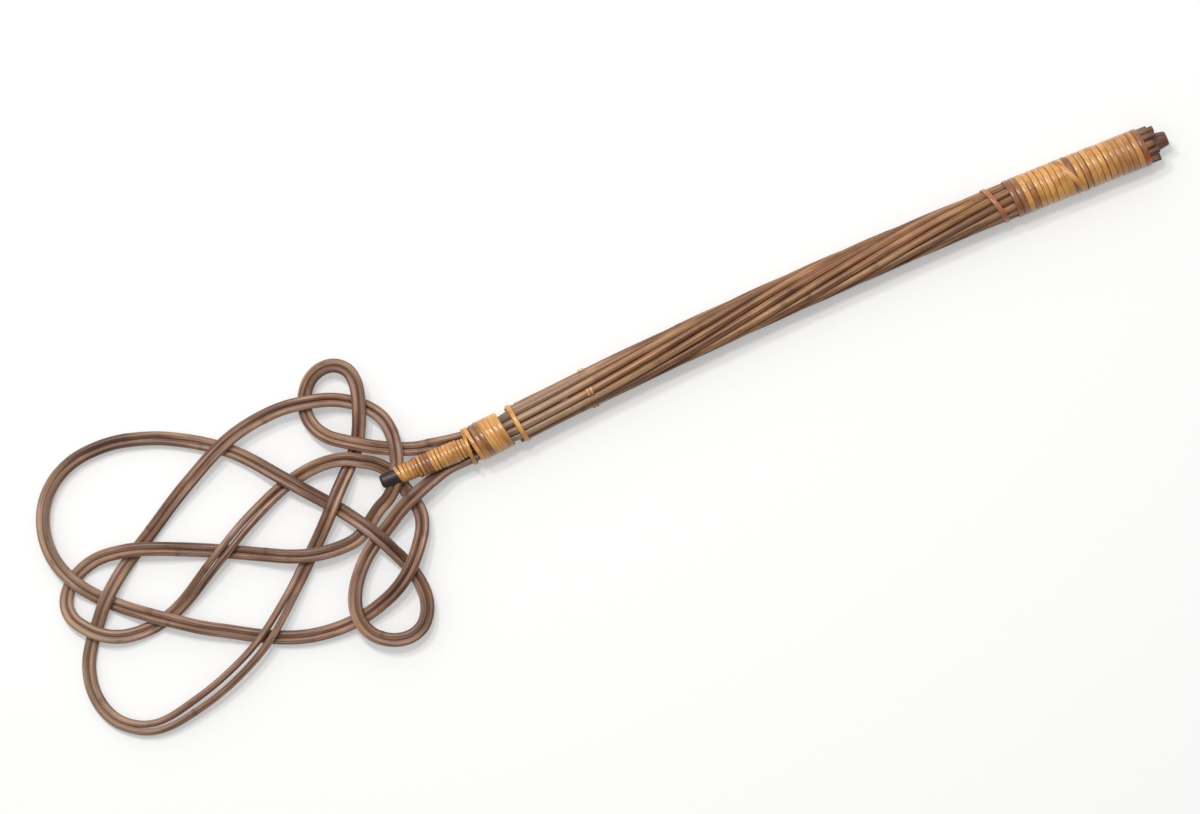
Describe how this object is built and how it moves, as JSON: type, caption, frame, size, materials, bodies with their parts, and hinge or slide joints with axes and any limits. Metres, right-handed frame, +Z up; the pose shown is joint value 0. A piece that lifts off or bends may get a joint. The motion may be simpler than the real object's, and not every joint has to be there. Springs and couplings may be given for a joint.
{
  "type": "carpet beater",
  "caption": "Woven cane carpet beater: a looped knot of doubled cane on a twisted cane handle bound with split cane.",
  "frame": {"origin": "centre of the cut butt end's flat face", "axes": "+X out of the butt along the handle, +Y across the head, +Z up off the surface that it lies on"},
  "size_m": [0.9108, 0.236, 0.0318],
  "materials": {
    "head_cane": "satin reddish-brown peeled cane",
    "handle_cane": "satin golden-brown cane",
    "core_wood": "rough cut stick",
    "dark_stick": "glossy, near black",
    "split_cane": "glossy amber split cane",
    "red_cane": "satin red-brown split cane"
  },
  "bodies": {
    "root": {"head_cane_inner": "head_cane", "head_cane_outer": "head_cane", "handle_cane_01": "handle_cane", "handle_cane_02": "handle_cane", "handle_cane_03": "handle_cane", "handle_cane_04": "handle_cane", "handle_cane_05": "handle_cane", "handle_cane_06": "handle_cane", "handle_cane_07": "handle_cane", "handle_cane_08": "handle_cane", "handle_cane_09": "handle_cane", "handle_cane_10": "handle_cane", "handle_cane_11": "handle_cane", "handle_cane_12": "handle_cane", "handle_core": "core_wood", "tie_stick": "dark_stick", "grip_binding": "split_cane", "neck_binding": "split_cane", "neck_end_band": "split_cane", "rear_band": "red_cane", "tie_binding": "split_cane", "mid_tie": "split_cane"}
  },
  "joints": []
}
